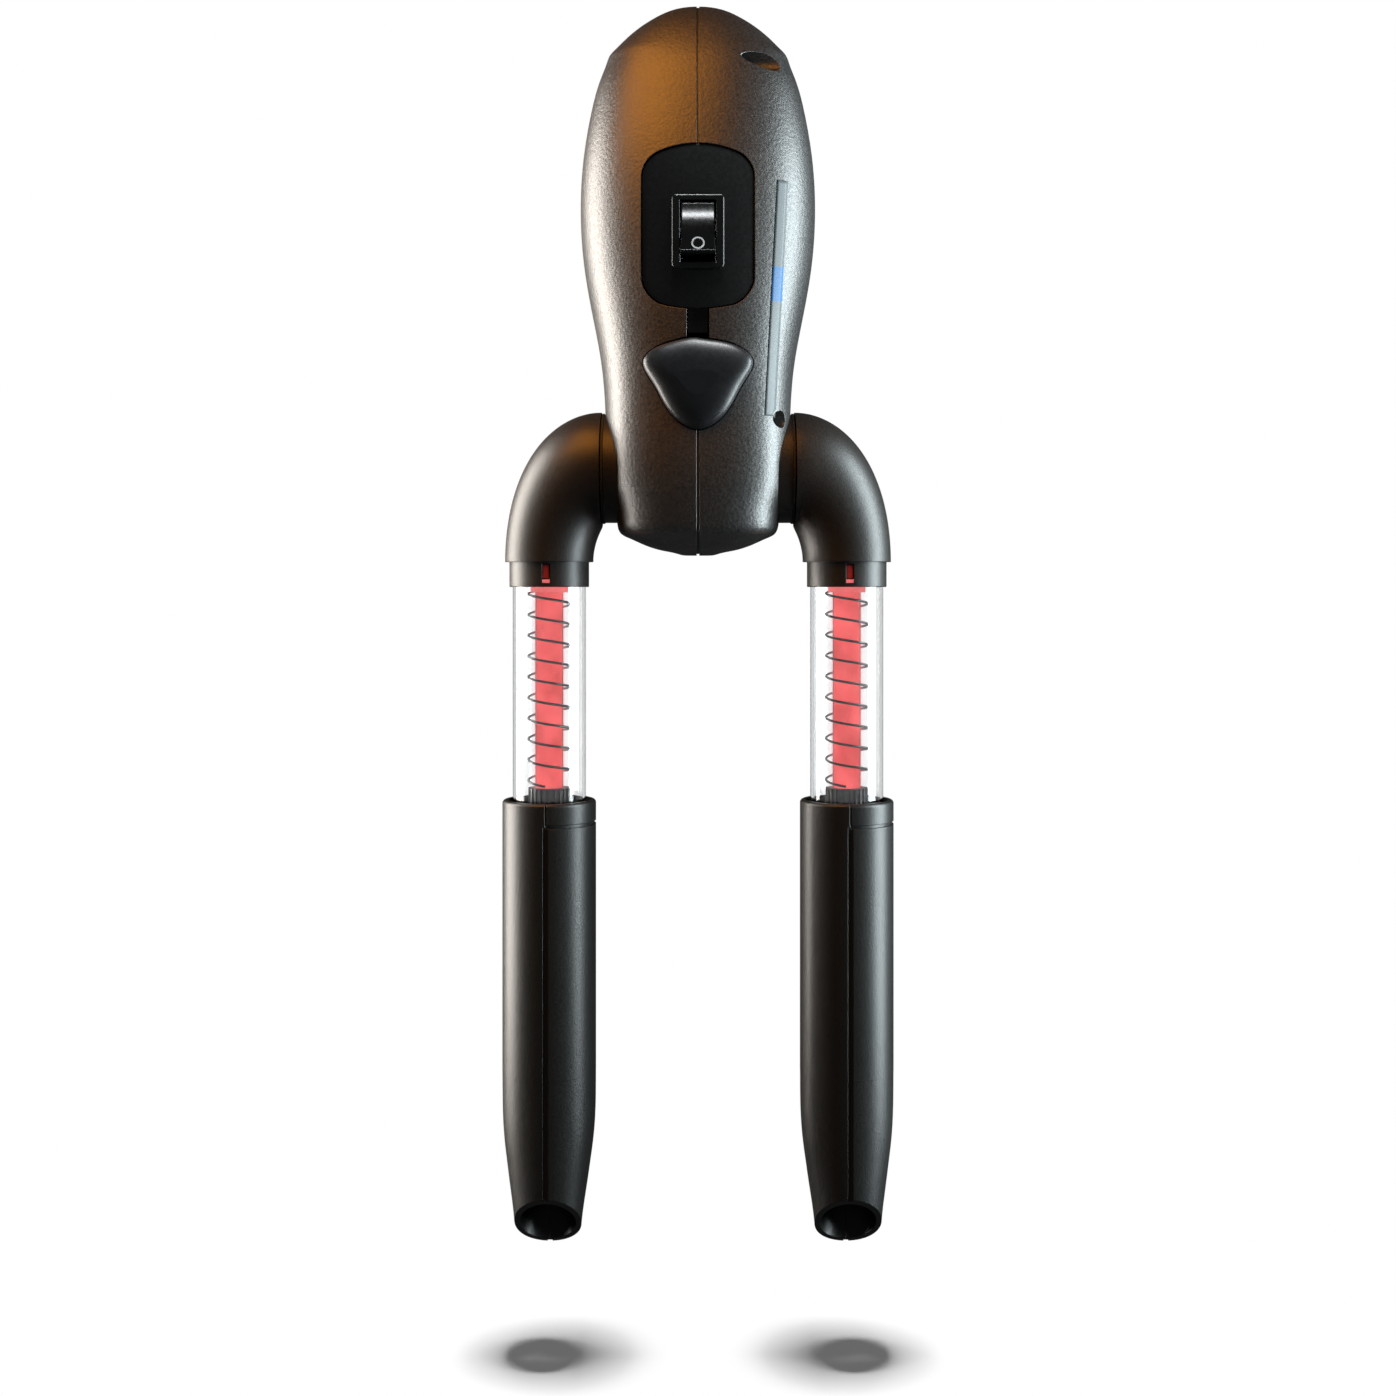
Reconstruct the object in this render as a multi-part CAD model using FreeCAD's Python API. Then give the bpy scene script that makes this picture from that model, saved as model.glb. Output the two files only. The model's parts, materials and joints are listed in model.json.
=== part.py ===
"""Boot dryer: a pear-shaped blower housing with two swivelling elbows, each carrying a clear
spiral hose and a nozzle tube that slides up over the hose.

Millimetres. The origin is where the elbows' swivel axis crosses the housing's middle plane.
+X is to the right as seen from the front, +Y is to the rear and +Z is up.
One STEP file is written for each separate piece.
"""

import FreeCAD, Part
import math
import os

V = FreeCAD.Vector
X, Y, Z = V(1, 0, 0), V(0, 1, 0), V(0, 0, 1)

# ---- driving dimensions -------------------------------------------------------------------
TOP_Z, BOTTOM_Z = 138.3, -25.9      # housing crown and belly
SHOULDER_Z, SHOULDER_W = 123.0, 26.6    # where the domed crown meets the sides
HEEL_Z, HEEL_W = -19.6, 22.9        # where the domed belly meets the sides
WALL = 2.2                          # housing wall
SEAM = 0.4                          # depth and half width of the groove along the parting line

# Housing stations between heel and shoulder: z, half width, front depth, rear depth, squareness
STATIONS = [
    (HEEL_Z, HEEL_W, 19.0, 18.0, 2.9),
    (-14.0, 24.3, 21.3, 20.0, 2.9),
    (-6.0, 26.5, 22.9, 21.4, 2.9),
    (4.0, 27.4, 23.5, 22.0, 2.9),
    (18.0, 27.7, 23.6, 22.0, 2.8),
    (32.0, 29.0, 24.3, 22.4, 2.6),
    (46.0, 31.6, 25.4, 23.2, 2.4),
    (60.0, 34.0, 26.1, 23.8, 2.3),
    (76.0, 35.1, 26.0, 23.8, 2.25),
    (92.0, 34.3, 24.6, 22.6, 2.25),
    (106.0, 32.0, 22.0, 20.4, 2.25),
    (115.5, 29.45, 19.4, 18.0, 2.25),
    (121.0, 27.4, 17.25, 16.0, 2.25),
    (SHOULDER_Z, SHOULDER_W, 16.25, 15.05, 2.25),
]

LEG_X = 44.6                        # axis of each hose and nozzle from the middle plane
HUB_X = 28.8                        # plane of each elbow's flange
HUB_R, ELBOW_R = 16.8, 13.2         # elbow radius at the flange and at its lower end
ELBOW_Z = -27.9                     # lower end of the elbow
DUCT_R = 11.2                       # air passage
SPIGOT_R, BEARING_R = 12.92, 13.0   # elbow spigot and the hub ring that it turns in
HUB_RING_R = 16.2

SOCKET_R, SOCKET_BORE = 11.9, 11.15
SOCKET_Z = -35.4                    # lower end of the hose socket
HOSE_R, HOSE_WALL = 10.9, 0.8
HOSE_TOP_Z, HOSE_END_Z = -33.0, -116.0
WIRE_R, WIRE_PITCH = 0.5, 6.2       # spiral wire wound round the light guide
WIRE_COIL_R, WIRE_TURNS = 6.2, 9.1
CAP_R, CAP_TOP_Z = 6.3, -95.5       # ribbed cap that holds the guide's lower end
GUIDE_R = 4.7                       # red light guide down the middle of the hose

NOZZLE_R, NOZZLE_BORE = 14.0, 12.4
RIM_Z = -99.0                       # upper rim of the nozzle
GROOVE_Z = -105.7                   # ring groove round the right half of each nozzle

PANEL_BOTTOM, PANEL_TOP, PANEL_HALF = 44.0, 91.7, 16.3
NECK_HALF, NECK_BOTTOM = 3.2, 34.0
SHIELD_TOP, SHIELD_TIP, SHIELD_HALF = 36.3, 9.5, 15.9
SHIELD_DOME = [(0.0, -21.4), (0.0, -24.0), (0.5, -25.1), (1.6, -26.0), (3.4, -26.8),
               (6.0, -27.4), (9.5, -27.8)]   # how far its outline shrinks, and at what depth
FIT_GAP = 0.35                      # gap between the housing and what fills its front opening
SWITCH_Z = 66.0
BEZEL_W, BEZEL_H = 15.0, 21.0       # standard miniature rocker switch
ROCKER_W, ROCKER_H, ROCKER_RISE = 9.8, 14.8, 1.5
ROCKER_PIVOT_Y, ROCKER_PIVOT_R = -21.4, 0.9
ROCKER_TILT = 11.0                  # the rocker leans this far either side of level
BUTTON_Z = 24.0                     # where the thumb button meets its microswitch
PANEL_FACE = -25.4                  # flat seat of the rocker switch

FAN_Z, FAN_R, FAN_BLADES = 46.0, 17.6, 7
INLET_Z = 100.0
SLOT_Z, SLOT_PITCH, SLOT_COUNT = 46.0, 4.6, 9   # air intake slots in the rear wall

# Screws along X: y, z and radius of the access hole in the right shell
SCREWS = [(-14.2, 118.0, 2.7), (-15.8, 13.4, 2.5), (11.4, 115.0, 3.0), (15.8, 13.4, 2.5)]
SCREW_SEAT_X, SCREW_TIP_X = 7.5, -10.5
SCREW_HEAD_R, SCREW_SHANK_R = 2.3, 1.2

parts = {}


# ---- helpers ------------------------------------------------------------------------------
def cyl(radius, start, axis, length):
    """A cylinder from the point start along axis."""
    return Part.makeCylinder(radius, length, V(*start), axis)


def tube(outer, inner, start, axis, length):
    return cyl(outer, start, axis, length).cut(cyl(inner, start, axis, length))


def block(x, y, z):
    """A box from three (low, high) pairs."""
    return Part.makeBox(x[1] - x[0], y[1] - y[0], z[1] - z[0], V(x[0], y[0], z[0]))


def rounded(shape, radius, keep):
    """Rounds the edges of shape for which keep(edge) is true."""
    return shape.makeFillet(radius, [e for e in shape.Edges if keep(e)])


def closed_curve(points):
    """A wire through points, smooth and closed."""
    curve = Part.BSplineCurve()
    curve.interpolate(Points=points, PeriodicFlag=True)
    return Part.Wire(curve.toShape())


def slab_of(outline, y_from, y_to):
    """The prism of a closed (x, z) outline between two depths."""
    face = Part.Face(outline)
    return face.extrude(V(0, y_to - y_from, 0))


# ---- housing body -------------------------------------------------------------------------
def section(z, half_width, front, rear, squareness):
    """A superellipse round the vertical axis, deeper at the front than at the rear."""
    count = 28
    points = []
    for i in range(count):
        a = 2 * math.pi * i / count
        c, s = math.cos(a), math.sin(a)
        depth = rear if s > 0 else front
        power = 2 / squareness
        x = math.copysign(abs(c) ** power, c) * half_width
        y = math.copysign(abs(s) ** power, s) * depth
        points.append(V(x, y, z))
    return closed_curve(points)


def levels(inset):
    """Every section of the housing from belly to crown: z, half width, front, rear, squareness."""
    crown, belly = TOP_Z - inset, BOTTOM_Z + inset
    found = []
    for share in (0.1, 0.28, 0.5, 0.74, 0.9):
        _, w, front, rear, n = STATIONS[0]
        z = belly + (HEEL_Z - belly) * share ** 2
        found.append((z, (w - inset) * share, (front - inset) * share, (rear - inset) * share, n))
    for z, w, front, rear, n in STATIONS:
        found.append((z, w - inset, front - inset, rear - inset, n))
    for share in (0.945, 0.84, 0.68, 0.46, 0.25, 0.09):
        _, w, front, rear, n = STATIONS[-1]
        z = crown - (crown - SHOULDER_Z) * share ** 2
        found.append((z, (w - inset) * share, (front - inset) * share, (rear - inset) * share, n))
    return found


def housing_solid(inset):
    """The housing's outer form, drawn in all round by inset."""
    return Part.makeLoft([section(*level) for level in levels(inset)], True, False)


def middle_prism(inset, half_width):
    """The housing's outline in its middle plane, as a thin prism across that plane."""
    rows = levels(inset)
    points = [V(-half_width, -front, z) for z, _, front, _, _ in rows]
    points += [V(-half_width, rear, z) for z, _, _, rear, _ in reversed(rows)]
    return Part.Face(closed_curve(points)).extrude(V(2 * half_width, 0, 0))


def panel_outline(grow):
    """Rounded panel with bowed ends, as one (x, z) outline at y = 0."""
    half, top, bottom = PANEL_HALF + grow, PANEL_TOP + grow, PANEL_BOTTOM - grow
    corner = 5.5
    high_end, high_turn, high_side = [V(half - corner, 0, top - 2.0), V(half - 1.3, 0, top - 5.2),
                                      V(half, 0, top - 9.1)]
    low_side, low_turn, low_end = [V(half, 0, bottom + 8.5), V(half - 1.7, 0, bottom + 4.6),
                                   V(half - corner, 0, bottom + 1.4)]
    curves = [
        Part.Arc(mirrored(high_end), V(0, 0, top), high_end),
        Part.Arc(high_end, high_turn, high_side),
        Part.LineSegment(high_side, low_side),
        Part.Arc(low_side, low_turn, low_end),
        Part.Arc(low_end, V(0, 0, bottom), mirrored(low_end)),
        Part.Arc(mirrored(low_end), mirrored(low_turn), mirrored(low_side)),
        Part.LineSegment(mirrored(low_side), mirrored(high_side)),
        Part.Arc(mirrored(high_side), mirrored(high_turn), mirrored(high_end)),
    ]
    return Part.Wire([curve.toShape() for curve in curves])


def mirrored(point):
    return V(-point.x, point.y, point.z)


def shield_outline(grow):
    """Guitar-pick outline: a bowed top, rounded shoulders and convex sides down to a round tip.

    It is scaled about its middle, so that it grows by the given amount at its widest and tallest.
    """
    middle, half_height = (SHIELD_TOP + SHIELD_TIP) / 2, (SHIELD_TOP - SHIELD_TIP) / 2
    wide, tall = SHIELD_HALF + grow, half_height + grow
    right = [(0, 1.0), (0.5, 0.91), (0.86, 0.724), (1.0, 0.53), (0.83, 0.015), (0.61, -0.47),
             (0.33, -0.85)]
    points = [V(x * wide, 0, middle + z * tall) for x, z in right]
    left = [mirrored(p) for p in points[:0:-1]]
    return closed_curve(points + [V(0, 0, middle - tall)] + left)


# ---- shells -------------------------------------------------------------------------------
def front_opening(grow):
    """Everything that is cut out of the front of the housing, as one prism."""
    depth = (-60, -8)
    panel = slab_of(moved(panel_outline(grow), depth[0]), *depth)
    neck = block((-NECK_HALF - grow, NECK_HALF + grow), depth, (NECK_BOTTOM, PANEL_BOTTOM + 4))
    shield = slab_of(moved(shield_outline(grow), depth[0]), *depth)
    return panel.fuse([neck, shield])


def moved(wire, y):
    wire.translate(V(0, y, 0))
    return wire


def intake_slots(side):
    """A column of air slots in the rear wall of one shell."""
    reach = sorted((side * 3.0, side * 17.0))
    heights = [SLOT_Z + SLOT_PITCH * i for i in range(SLOT_COUNT)]
    return [block(reach, (10, 40), (z, z + 2.0)) for z in heights]


def seam_groove():
    """The groove along the parting line: a thin ring round the housing's middle outline."""
    return middle_prism(-2.0, SEAM).cut(middle_prism(SEAM, SEAM))


def housing_shells(outer, inner):
    """The two halves of the housing, with their openings and screw posts."""
    wall = outer.cut(inner)
    inlet_hole = block((-11.2, 11.2), (8, 40), (INLET_Z - 7.2, INLET_Z + 7.2))
    hub_hole = cyl(HUB_RING_R, (-40, 0, 0), X, 80)
    cuts = [seam_groove(), front_opening(0), inlet_hole, hub_hole]
    for name, side in (("left", -1), ("right", 1)):
        half = wall.common(block(sorted((0, side * 80)), (-80, 80), (-60, 160)))
        half = half.cut(cuts + intake_slots(side))
        bosses, bores = screw_bosses(outer, side)
        parts[f"{name}_housing_shell"] = half.fuse(bosses).cut(bores)


def screw_bosses(outer, side):
    """Screw posts of one shell and the holes in them."""
    bosses, bores = [], []
    for y, z, hole in SCREWS:
        if side > 0:
            bosses.append(cyl(hole + 1.4, (0.4, y, z), X, 60).common(outer))
            bores.append(cyl(hole, (SCREW_SEAT_X, y, z), X, 60).fuse(cyl(1.6, (0, y, z), X, 20)))
        else:
            bosses.append(cyl(3.4, (-60, y, z), X, 59.6).common(outer))
            bores.append(cyl(1.25, (-12, y, z), X, 12))
    return bosses, bores


def housing_screws():
    """Cross-head screws, each with its head in an access hole."""
    reach, half_slot = 1.6, 0.35
    recess = (SCREW_SEAT_X + 1.1, SCREW_SEAT_X + 2)
    screws = []
    for y, z, _ in SCREWS:
        head = cyl(SCREW_HEAD_R, (SCREW_SEAT_X, y, z), X, 1.9)
        shank = cyl(SCREW_SHANK_R, (SCREW_TIP_X, y, z), X, SCREW_SEAT_X - SCREW_TIP_X)
        level = block(recess, (y - reach, y + reach), (z - half_slot, z + half_slot))
        upright = block(recess, (y - half_slot, y + half_slot), (z - reach, z + reach))
        screws.append(head.fuse(shank).cut([level, upright]))
    parts["housing_screws"] = Part.makeCompound(screws)


# ---- front controls -----------------------------------------------------------------------
def control_panel(sunk, deep):
    """Black insert with a neck, its face just under the housing's surface."""
    plate = slab_of(moved(panel_outline(-FIT_GAP), -60), -60, -8)
    neck = block((-NECK_HALF + FIT_GAP, NECK_HALF - FIT_GAP), (-60, -8),
                 (SHIELD_TOP + 1.2, PANEL_BOTTOM + 4))
    body = plate.common(sunk).cut(deep)
    low_neck = neck.common(housing_solid(1.4)).cut(deep)
    seat = block((-BEZEL_W / 2 - 0.3, BEZEL_W / 2 + 0.3), (-40, PANEL_FACE),
                 (SWITCH_Z - BEZEL_H / 2 - 0.3, SWITCH_Z + BEZEL_H / 2 + 0.3))
    window = block((-6.6, 6.6), (-40, 0), (SWITCH_Z - 9.6, SWITCH_Z + 9.6))
    parts["control_panel"] = body.fuse(low_neck).cut([seat, window])


def shield_button():
    """Domed thumb button under the panel: a cap with a plunger, and the microswitch it works."""
    wires = [moved(shield_outline(-FIT_GAP - shrink), y) for shrink, y in SHIELD_DOME]
    cap = Part.makeLoft(wires, True, False)
    hollow = slab_of(moved(shield_outline(-FIT_GAP - 1.8), -23.4), -23.4, -20)
    plunger = cyl(2.0, (0, -24.4, BUTTON_Z), Y, 4.0)
    parts["shield_button"] = cap.cut(hollow).fuse(plunger)
    half = 3.2
    body = block((-half, half), (-18.2, -14.4), (BUTTON_Z - half, BUTTON_Z + half))
    stem = cyl(1.6, (0, -18.6, BUTTON_Z), Y, 0.6)
    parts["button_microswitch"] = body.fuse(stem)
    plate = block((-9.0, 9.0), (-14.4, -13.2), (BUTTON_Z - 5.2, BUTTON_Z + 5.2))
    holes = [cyl(1.2, (x, -15, BUTTON_Z), Y, 4) for x in (-6.5, 6.5)]
    parts["microswitch_bracket"] = plate.cut(holes)


def rocker_switch():
    """Bezel and case of the rocker switch, its pivot pin and its two terminals."""
    low, high = SWITCH_Z - BEZEL_H / 2, SWITCH_Z + BEZEL_H / 2
    bezel_front = PANEL_FACE - 1.5
    case_rear, terminal_end = -8.0, -1.5
    half_case, half_cavity, side_gap = 9.4, 8.9, 0.35
    bezel = block((-BEZEL_W / 2, BEZEL_W / 2), (bezel_front, PANEL_FACE), (low, high))
    bezel = rounded(bezel, 1.2, lambda e: e.Length < 1.6)
    bezel = rounded(bezel, 0.5, lambda e: e.BoundBox.YMax < bezel_front + 0.1)
    body = block((-6.4, 6.4), (PANEL_FACE, case_rear), (SWITCH_Z - half_case, SWITCH_Z + half_case))
    half_width = ROCKER_W / 2
    cavity = block((-half_width - side_gap, half_width + side_gap), (-40, -15.0),
                   (SWITCH_Z - half_cavity, SWITCH_Z + half_cavity))
    pin = cyl(ROCKER_PIVOT_R, (-half_width - 0.8, ROCKER_PIVOT_Y, SWITCH_Z), X, ROCKER_W + 1.6)
    parts["rocker_switch_case"] = bezel.fuse(body).cut([cavity, pin])
    parts["rocker_pivot_pin"] = pin
    blades = []
    for z in (SWITCH_Z - 5.2, SWITCH_Z + 5.2):
        blades.append(block((-0.4, 0.4), (case_rear, terminal_end), (z - 2.4, z + 2.4)))
    parts["switch_terminals"] = Part.makeCompound(blades)


def rocker():
    """Rocker cap with a hollowed face, upper end pressed in."""
    half, face_y, foot_y = ROCKER_H / 2, PANEL_FACE - 2.4, -17.6
    shoulder_y = face_y + 4.2
    top, bottom = V(0, face_y, half), V(0, face_y, -half)
    back = [top, V(0, shoulder_y, half), V(0, foot_y, 5.0), V(0, foot_y, -5.0),
            V(0, shoulder_y, -half), bottom]
    hollow = Part.Arc(bottom, V(0, face_y + ROCKER_RISE, 0), top).toShape()
    outline = Part.Wire(Part.makePolygon(back).Edges + [hollow])
    cap = Part.Face(outline).extrude(V(ROCKER_W, 0, 0))
    cap.translate(V(-ROCKER_W / 2, 0, SWITCH_Z))
    cap = rounded(cap, 0.4, lambda e: e.BoundBox.YMax < face_y + ROCKER_RISE + 0.1)
    cap = cap.cut(cyl(ROCKER_PIVOT_R + 0.08, (-10, ROCKER_PIVOT_Y, SWITCH_Z), X, 20))
    cap.rotate(V(0, ROCKER_PIVOT_Y, SWITCH_Z), X, -ROCKER_TILT)
    parts["rocker"] = cap


# ---- blower, heater and electrics ---------------------------------------------------------
def blower():
    """Axial fan: a ring on three arms, a motor in its hub and a bladed cup that turns on it."""
    base = FAN_Z - 6
    ring_r, hub_r, motor_r, shaft_r, cup_r = FAN_R + 0.8, 6.6, 5.6, 0.9, 7.4
    frame = tube(ring_r + 1.0, ring_r, (0, 0, base), Z, 12)
    middle = cyl(hub_r, (0, 0, base), Z, 2.0)
    arms = []
    for i in range(3):
        arm = block((5.5, FAN_R + 1.2), (-0.9, 0.9), (base, base + 2.0))
        arm.rotate(V(0, 0, 0), Z, 120 * i + 30)
        arms.append(arm)
    parts["fan_frame"] = frame.fuse([middle] + arms)
    shaft = cyl(shaft_r, (0, 0, base + 8.0), Z, 3.6)
    parts["fan_motor"] = cyl(motor_r, (0, 0, base + 2.0), Z, 6.0).fuse(shaft)
    cup = tube(cup_r, cup_r - 1.0, (0, 0, base + 2.6), Z, 8.6)
    lid = tube(cup_r, shaft_r + 0.07, (0, 0, base + 9.4), Z, 1.8)
    blades = []
    for i in range(FAN_BLADES):
        blade = block((cup_r - 0.5, FAN_R), (-0.45, 0.45), (base + 4.0, base + 10.0))
        blade.rotate(V(0, 0, base + 7.0), X, 38)
        blade = blade.common(cyl(FAN_R, (0, 0, base + 3.0), Z, 8.4))
        blade.rotate(V(0, 0, 0), Z, 360 / FAN_BLADES * i)
        blades.append(blade)
    parts["impeller"] = cup.fuse([lid] + blades)


def heater():
    """Frame, heater of thin fins across three heating stones, and a thermal cut-out behind."""
    outside = block((-17, 17), (-11, 14), (18.6, 34.6))
    parts["heater_frame"] = outside.cut(block((-15, 15), (-9, 12), (18, 36)))
    fins = []
    for i in range(9):
        y = -8.4 + 2.4 * i
        fins.append(block((-14.8, 14.8), (y, y + 0.6), (20, 33)))
    stones = [block((x, x + 3.4), (-8.9, 11.9), (24, 29)) for x in (-11.2, -1.7, 7.8)]
    parts["ptc_heater"] = fins[0].fuse(fins[1:] + stones)
    parts["thermal_cutout"] = cyl(2.5, (5.0, 16.9, 22.5), Z, 6.0)


def air_manifold():
    """Tee that splits the warm air to the two hubs."""
    run = cyl(12.4, (-16.6, 0, 0), X, 33.2)
    neck = block((-15.5, 15.5), (-10, 11.4), (4, 18.2))
    way = cyl(DUCT_R, (-20, 0, 0), X, 40).fuse(block((-14.2, 14.2), (-8.6, 10.0), (2, 20)))
    parts["air_manifold"] = run.fuse(neck).cut(way)


def electrics():
    """Timer board with its relay, capacitor and chip, and the mains inlet with its two pins."""
    board_front, board_rear = 3.0, 4.6
    parts["timer_circuit_board"] = block((-17, 17), (board_front, board_rear), (79.0, 117.0))
    parts["relay"] = block((-14, -2), (-5.0, board_front), (96, 111))
    parts["capacitor"] = cyl(4.2, (8, board_front, 104), V(0, -1, 0), 9.0)
    parts["timer_chip"] = block((1.5, 9.5), (1.2, board_front), (84, 92))
    body = block((-11, 11), (9.0, 21.4), (INLET_Z - 7, INLET_Z + 7))
    body = rounded(body, 1.0, lambda e: e.BoundBox.YMax - e.BoundBox.YMin > 10)
    pin_x, lobe_r, socket_floor = 4.3, 3.7, 11.0
    socket = [cyl(lobe_r, (x, socket_floor, INLET_Z), Y, 12) for x in (-pin_x, pin_x)]
    socket.append(block((-pin_x, pin_x), (socket_floor, 23.0), (INLET_Z - 3.3, INLET_Z + 3.3)))
    parts["mains_inlet"] = body.cut(socket)
    pins = []
    for x in (-pin_x, pin_x):
        pin = cyl(1.15, (x, socket_floor, INLET_Z), Y, 8.6)
        pins.append(rounded(pin, 0.8, lambda e: e.BoundBox.YMin > 19))
    parts["inlet_pins"] = Part.makeCompound(pins)


# ---- legs ---------------------------------------------------------------------------------
def elbow_sections(side, hub_radius, end_radius, count=7):
    """Circles on a quarter turn whose planes all hinge about the corner under the hub."""
    pivot = V(side * HUB_X, 0, ELBOW_Z)
    wires = []
    for i in range(count):
        a = math.pi / 2 * i / (count - 1)
        centre = pivot + V(side * (LEG_X - HUB_X) * math.sin(a), 0, -ELBOW_Z * math.cos(a))
        radius = math.hypot(hub_radius * math.cos(a), end_radius * math.sin(a))
        ring = Part.Wire(Part.Circle(V(0, 0, 0), X, radius).toShape())
        ring.rotate(V(0, 0, 0), Y, side * math.degrees(a))
        ring.translate(centre)
        wires.append(ring)
    return wires


def elbow(name, side):
    """Elbow with the spigot that turns in the housing, and the clip that keeps it there."""
    spigot_end, bore_end, clip_x = 16.9, 16.0, 17.6
    outer = Part.makeLoft(elbow_sections(side, HUB_R, ELBOW_R), True, False)
    passage = Part.makeLoft(elbow_sections(side, DUCT_R, DUCT_R), True, False)
    spigot = cyl(SPIGOT_R, (side * spigot_end, 0, 0), X * side, HUB_X - spigot_end)
    bore = cyl(DUCT_R, (side * bore_end, 0, 0), X * side, HUB_X - bore_end)
    seat = cyl(SOCKET_R, (side * LEG_X, 0, ELBOW_Z - 1), Z, 8.0)
    clip_groove = tube(SPIGOT_R + 1, SPIGOT_R - 0.6, (side * clip_x, 0, 0), X * side, 1.6)
    parts[f"{name}_elbow"] = outer.fuse(spigot).cut([passage, bore, seat, clip_groove])
    clip = tube(15.0, SPIGOT_R - 0.5, (side * (clip_x + 0.1), 0, 0), X * side, 1.4)
    middle = side * (clip_x + 0.8)
    gap = block((middle - 2, middle + 2), (-4, 4), (-20, -8))
    parts[f"{name}_elbow_clip"] = clip.cut(gap)


def hub(name, side):
    """Ring that the elbow turns in, and the seal between it and the elbow's flange."""
    ring_start, ring_end = 19.6, 27.9
    start, length = (side * ring_start, 0, 0), ring_end - ring_start
    parts[f"{name}_hub_ring"] = tube(HUB_RING_R, BEARING_R, start, X * side, length)
    parts[f"{name}_swivel_seal"] = tube(16.5, BEARING_R, (side * ring_end, 0, 0), X * side, 0.6)


def hose_parts(name, side):
    x = side * LEG_X
    socket = tube(SOCKET_R, SOCKET_BORE, (x, 0, SOCKET_Z), Z, ELBOW_Z + 7.0 - SOCKET_Z)
    socket = rounded(socket, 0.3, lambda e: e.BoundBox.ZMax < SOCKET_Z + 0.1)
    window = block((x - 1.1, x + 1.1), (-20, -5), (-34.2, -28.6))
    parts[f"{name}_hose_socket"] = socket.cut(window)
    cuff = tube(SOCKET_BORE - 0.05, 9.6, (x, 0, HOSE_TOP_Z), Z, 11.0)
    tab = block((x - 0.9, x + 0.9), (-11.7, -10.5), (-32.9, -29.0))
    parts[f"{name}_hose_cuff"] = cuff.fuse(tab)
    length = HOSE_TOP_Z - HOSE_END_Z
    parts[f"{name}_hose"] = tube(HOSE_R, HOSE_R - HOSE_WALL, (x, 0, HOSE_END_Z), Z, length)
    parts[f"{name}_hose_wire"] = spiral_wire(x)
    guide_length = HOSE_TOP_Z - CAP_TOP_Z - 0.1
    parts[f"{name}_light_guide"] = cyl(GUIDE_R, (x, 0, CAP_TOP_Z + 0.1), Z, guide_length)
    parts[f"{name}_guide_end_cap"] = guide_end_cap(x)
    parts[f"{name}_lamp_holder"] = lamp_holder(x)
    parts[f"{name}_lamp"] = cyl(2.5, (x, 0, -32.4), Z, 5.0).fuse(cyl(3.0, (x, 0, -27.4), Z, 1.2))
    bush = tube(12.0, HOSE_R + 0.05, (x, 0, HOSE_END_Z), Z, 8.9)
    foot = tube(12.0, 9.6, (x, 0, HOSE_END_Z - 1.4), Z, 1.4)
    spider = [cyl(3.4, (x, 0, HOSE_END_Z - 1.4), Z, 1.4)]
    spider += spokes(x, (3.0, 10.0), (HOSE_END_Z - 1.4, HOSE_END_Z))
    parts[f"{name}_hose_end_bush"] = bush.fuse([foot] + spider)


def lamp_holder(x):
    ring = tube(9.5, 8.3, (x, 0, -33.0), Z, 5.6)
    cup = tube(5.6, 4.75, (x, 0, -37.0), Z, 9.6).fuse(tube(5.6, 3.05, (x, 0, -27.4), Z, 1.2))
    return ring.fuse([cup] + spokes(x, (5.2, 8.8), (-32.0, -27.6)))


def spokes(x, reach, heights):
    """Three thin arms that stand out from a leg's axis."""
    arms = []
    for i in range(3):
        arm = block(reach, (-0.6, 0.6), heights)
        arm.rotate(V(0, 0, 0), Z, 120 * i + 90)
        arm.translate(V(x, 0, 0))
        arms.append(arm)
    return arms


def guide_end_cap(x):
    """Ribbed cap on a stem, at the lower end of the light guide."""
    body = cyl(CAP_R, (x, 0, CAP_TOP_Z - 12.0), Z, 12.0)
    grooves = []
    for i in range(24):
        groove = block((CAP_R - 0.5, CAP_R + 1), (-0.4, 0.4), (CAP_TOP_Z - 13, CAP_TOP_Z + 1))
        groove.rotate(V(0, 0, 0), Z, 15 * i)
        groove.translate(V(x, 0, 0))
        grooves.append(groove)
    return body.cut(grooves).fuse(cyl(2.6, (x, 0, HOSE_END_Z), Z, 9.0))


def spiral_wire(x):
    """Spiral wire wound round the light guide, clear of it all the way."""
    helix = Part.makeHelix(WIRE_PITCH, WIRE_TURNS * WIRE_PITCH, WIRE_COIL_R, 0, True)
    start = V(WIRE_COIL_R, 0, 0)
    ring = Part.Wire(Part.Circle(start, Y, WIRE_R).toShape())
    wire = helix.makePipeShell([ring], True, True)
    wire.rotate(V(0, 0, 0), Z, 70)
    wire.translate(V(x, 0, CAP_TOP_Z + 1.0))
    return wire


# ---- nozzles ------------------------------------------------------------------------------
# Tip stations below the straight tube: height, half width, how far back the rear wall reaches.
# The front wall runs straight down; the rear wall sweeps forward to the mouth. The tip starts a
# little inside the tube's wall.
TIP = [(-176.0, 13.97, 13.97), (-183.0, 13.97, 13.97), (-190.0, 13.9, 13.9), (-198.0, 13.5, 13.0),
       (-207.0, 12.4, 11.2), (-214.0, 11.4, 9.4), (-220.0, 10.5, 7.4), (-227.0, 9.8, 5.0),
       (-236.0, 9.4, 2.0)]
STRAIGHT_END_Z, TIP_FRONT = -180.0, 13.97
MOUTH_FRONT_Z, MOUTH_ANGLE = -214.5, -46.6
LIP_R = 11.35                       # inner lip that stops the nozzle at the hose's end
NOZZLE_SEAM_HALF, NOZZLE_SEAM_DEPTH = 0.75, 0.55


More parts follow.
